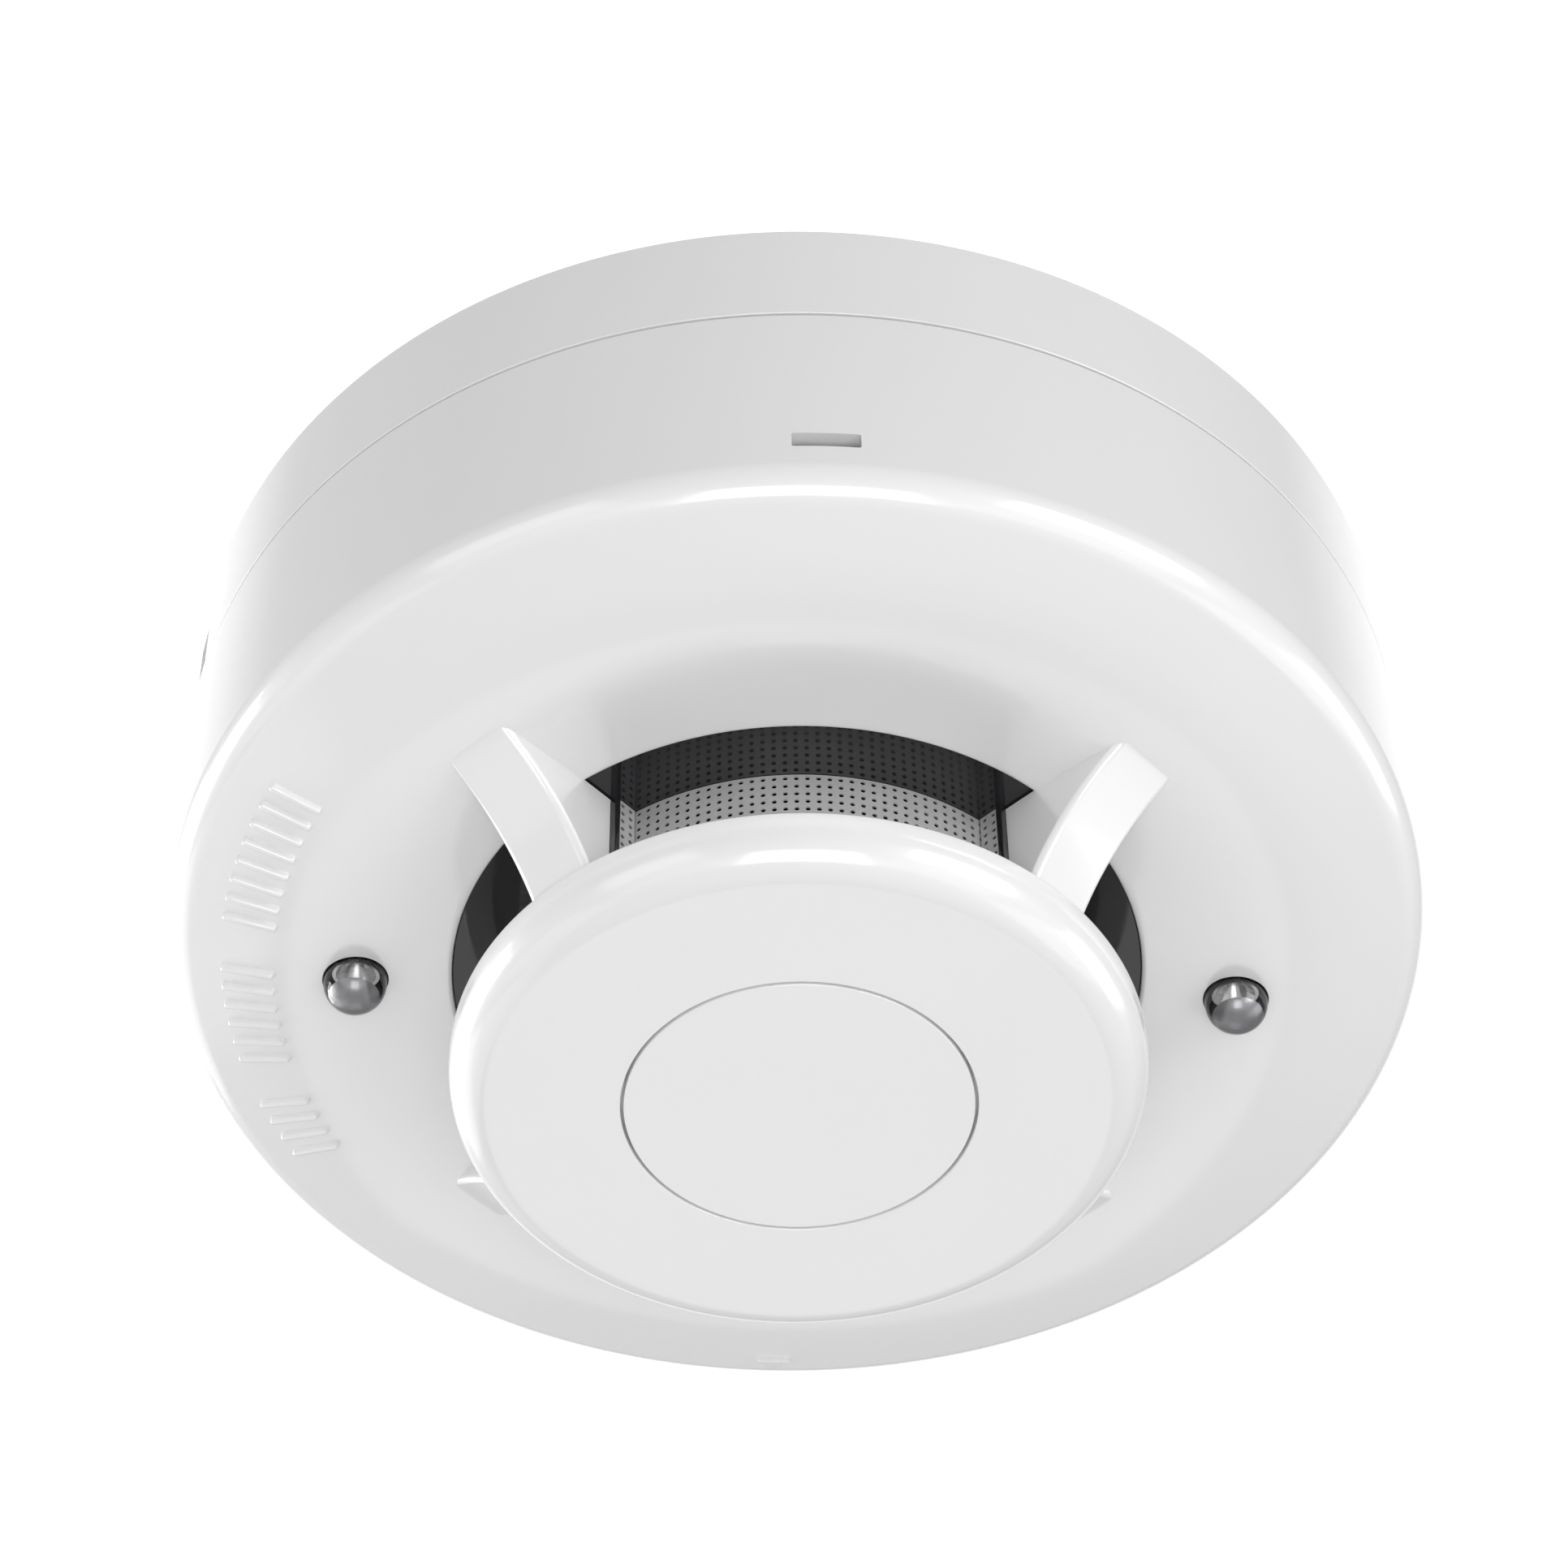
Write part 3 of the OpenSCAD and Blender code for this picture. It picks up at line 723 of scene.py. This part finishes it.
def build_base():
    """Base moulding: wall, ribbed plate, fixing slots, cable opening and lock ledges."""
    rib_w, overlap, hem = 1.2, 0.3, 4.4
    rib_foot, pad_foot = PLATE_TOP - overlap, PLATE_BOTTOM + overlap
    wall_reach = BORE_R + 0.5
    shell = lathe("base_moulding", base_profile())
    added = []
    for i in range(8):
        rib = prism("rib", rectangle(BORE_R - CABLE_R, rib_w), rib_foot, -0.05)
        added.append(turned(shifted(rib, (BORE_R + CABLE_R) / 2 + 1, 0), 22.5 + 45 * i))
    added.append(lathe("collar", [(CABLE_R - 1, 0), (CABLE_R + 1.6, 0), (CABLE_R + 1.6, rib_foot),
                                  (CABLE_R - 1, rib_foot)], 128))
    for side in (-1, 1):
        boss = prism("boss", slot_outline(SLOT_LEN + hem, SLOT_W + hem), rib_foot, -0.02)
        added.append(shifted(boss, side * SLOT_SPACING / 2, 0))
    for angle in TERMINAL_ANGLES:
        pad = prism("pad", rectangle(10, 10), PLATE_BOTTOM - 1.2, pad_foot)
        added.append(turned(shifted(pad, TERMINAL_R, 0), angle))
    for i in range(LUG_COUNT):
        angle = LUG_ANGLE + FULL_TURN / LUG_COUNT * i
        added.append(prism("ledge", sector_outline(45.6, wall_reach, angle, 16), -9.8, -8))
        added.append(prism("stop", sector_outline(45.9, wall_reach, angle + 8.7, 2.4), -9.5, pad_foot))
    lever_pin = prism("pin", circle(0.8, 32), -9.9, pad_foot)
    added.append(turned(shifted(lever_pin, 46.3, 0), 201.2))
    combine(shell, added, "UNION")
    cut_low, cut_high = PLATE_BOTTOM - 3, 1
    cuts = [prism("cable", circle(CABLE_R, 128), cut_low, cut_high)]
    for side in (-1, 1):
        slot = prism("slot", slot_outline(SLOT_LEN, SLOT_W), cut_low, cut_high)
        cuts.append(shifted(slot, side * SLOT_SPACING / 2, 0))
    for angle in TERMINAL_ANGLES:
        hole = prism("hole", circle(1.7, 32), cut_low, cut_high)
        cuts.append(turned(shifted(hole, TERMINAL_R, 0), angle))
    side_slot = prism("window", rounded(rectangle(WALL + 2, 2.6), 0.05), -10, -5.9)
    cuts.append(turned(shifted(side_slot, BORE_R + 1, 0), 193.7))
    combine(shell, cuts, "DIFFERENCE")
    soften(shell, width=0.06, sharp_deg=40)
    finish_with(shell, WHITE)
    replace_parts(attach(shell, "base"), "base_shell")


# ---------------------------------------------------------------- carried-over nodes

NODE_MATERIALS = {
    SATIN: ("release_lever",),
    LATCH: ("chassis", "cover_latch"),
    BLACK: ("optics_holder", "light_maze", "chamber_lid"),
    STEEL: ("terminal_screw", "clamp_plate", "board_screws", "shield_can"),
    BRASS: ("terminal_plate", "contact_blade"),
    BOARD: ("circuit_board",),
    CHIP: ("microcontroller", "resistors", "diodes"),
    SLEEVE: ("capacitors",),
    GLASS: ("reed_switch",),
    OPTIC: ("ir_emitter", "photodiode"),
    TIN: ("optics_leads", "lamp_leads"),
}


def finish_nodes():
    """Materials and softened edges for the nodes whose CAD shape is kept."""
    weld_mm, edge_mm, sharp_deg = 0.002, 0.06, 40
    for material, starts in NODE_MATERIALS.items():
        for name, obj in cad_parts.items():
            if name.startswith(starts):
                finish_with(obj, material)
                weld = obj.modifiers.new("weld", "WELD")
                weld.merge_threshold = weld_mm * MM
                edge = obj.modifiers.new("edge", "BEVEL")
                edge.width = edge_mm * MM
                edge.segments = 2
                edge.limit_method = "ANGLE"
                edge.angle_limit = math.radians(sharp_deg)
                edge.harden_normals = True


# ---------------------------------------------------------------- stage

VIEW_AZIMUTH = math.radians(-3.3)
VIEW_RISE = 0.8479
VIEW_DISTANCE = 370.6
VIEW_TARGET = (-0.79, 0.0, -8.64)
VIEW_ROLL = -0.0162
LENS = 100.06


def build_camera():
    """Camera below the detector, looking up at its front-facing side."""
    spin = Matrix.Rotation(VIEW_AZIMUTH, 3, "Z")
    eye = spin @ Vector((0, -VIEW_DISTANCE * math.cos(VIEW_RISE), -VIEW_DISTANCE * math.sin(VIEW_RISE))) * MM
    target = spin @ Vector(VIEW_TARGET) * MM
    ahead = (target - eye).normalized()
    right = ahead.cross(Vector((0, 0, 1))).normalized()
    up = right.cross(ahead)
    c, s = math.cos(VIEW_ROLL), math.sin(VIEW_ROLL)
    tilted_right, tilted_up = right * c + up * s, up * c - right * s
    data = bpy.data.cameras.new("camera")
    data.lens = LENS
    data.sensor_width = 36
    data.clip_start = 0.01
    camera = bpy.data.objects.new("camera", data)
    camera.matrix_world = Matrix((tilted_right, tilted_up, -ahead)).transposed().to_4x4()
    camera.location = eye
    bpy.context.scene.collection.objects.link(camera)
    bpy.context.scene.camera = camera
    return ahead


# name, azimuth from the camera's side towards +X, height angle, size in metres, power in watts
LIGHTS = (
    ("front_right", 45, -10, 0.45, 2.9),
    ("front_right_low", 45, -40, 0.45, 0.3),
    ("front_left", -45, -12, 0.45, 0.5),
    ("front_left_low", -45, -40, 0.45, 0.2),
    ("left", -108, 5, 0.45, 3.3),
    ("left_low", -90, -40, 0.45, 0.2),
    ("back_left", -135, -12, 0.45, 0.6),
    ("back_left_low", -135, -40, 0.45, 0.25),
    ("back_left_high", -130, 15, 0.45, 3.2),
    ("back_low", 180, -40, 0.45, 0.3),
    ("right_low", 90, -40, 0.45, 0.35),
    ("right", 95, -12, 0.45, 0.9),
    ("glint", 0, -48, 0.45, 1.8),
)
LIGHT_DISTANCE = 0.9
LIGHT_AIM = Vector((0, 0, -0.03))


def studio_light(name, azimuth, rise, size, power):
    """Soft square light that looks at the detector."""
    a, e = math.radians(azimuth), math.radians(rise)
    out = Vector((math.sin(a) * math.cos(e), -math.cos(a) * math.cos(e), math.sin(e)))
    data = bpy.data.lights.new(name, "AREA")
    data.shape = "SQUARE"
    data.size = size
    data.energy = power
    light = bpy.data.objects.new(name, data)
    light.location = LIGHT_AIM + out * LIGHT_DISTANCE
    light.rotation_euler = (-out).to_track_quat("-Z", "Y").to_euler()
    light.visible_camera = False
    bpy.context.scene.collection.objects.link(light)


def build_world(ahead):
    """White backdrop behind the detector, soft light above it and grey below."""
    world = bpy.data.worlds.new("studio")
    bpy.context.scene.world = world
    world.use_nodes = True
    tree = world.node_tree
    back = tree.nodes["Background"]
    place_node = tree.nodes.new("ShaderNodeTexCoord")
    dot = tree.nodes.new("ShaderNodeVectorMath")
    dot.operation = "DOT_PRODUCT"
    dot.inputs[1].default_value = ahead
    tree.links.new(place_node.outputs["Generated"], dot.inputs[0])
    height = tree.nodes.new("ShaderNodeSeparateXYZ")
    tree.links.new(place_node.outputs["Generated"], height.inputs["Vector"])
    brighter = tree.nodes.new("ShaderNodeMath")
    brighter.operation = "MAXIMUM"
    # What the brightness follows, where it starts and ends, and its lowest and highest value
    ranges = ((dot.outputs["Value"], 0.6, 0.95, 0.0, 1.1), (height.outputs["Z"], -0.1, 0.15, 0.2, 0.43))
    for socket, (source, start, end, low, high) in enumerate(ranges):
        fade = tree.nodes.new("ShaderNodeMapRange")
        fade.interpolation_type = "SMOOTHSTEP"
        fade.inputs["From Min"].default_value = start
        fade.inputs["From Max"].default_value = end
        fade.inputs["To Min"].default_value = low
        fade.inputs["To Max"].default_value = high
        tree.links.new(source, fade.inputs["Value"])
        tree.links.new(fade.outputs["Result"], brighter.inputs[socket])
    tree.links.new(brighter.outputs["Value"], back.inputs["Strength"])
    back.inputs["Color"].default_value = (1, 1, 1, 1)


def build_floor():
    """Plain pale floor well below the hanging detector."""
    half, depth = 60.0, -1.6
    mesh = bpy.data.meshes.new("floor")
    mesh.from_pydata([(x, y, depth) for x, y in rectangle(2 * half, 2 * half)], [], [[0, 1, 2, 3]])
    floor = keep(mesh, "floor")
    pale = plastic("floor_pale", (0.82, 0.82, 0.82), 0.01, (0.6, 0.75), grain=400.0, grain_mm=0.05)
    finish_with(floor, pale)


def build_stage():
    ahead = build_camera()
    build_world(ahead)
    build_floor()
    for name, azimuth, rise, size, power in LIGHTS:
        studio_light(name, azimuth, rise, size, power)
    bpy.context.scene.view_settings.view_transform = "Standard"


build_stage()
build_cover()
build_marks()
build_disc()
build_screen()
build_chamber()
build_lamp(-1, "status_lamp_left")
build_lamp(1, "status_lamp_right")
build_base()
finish_nodes()
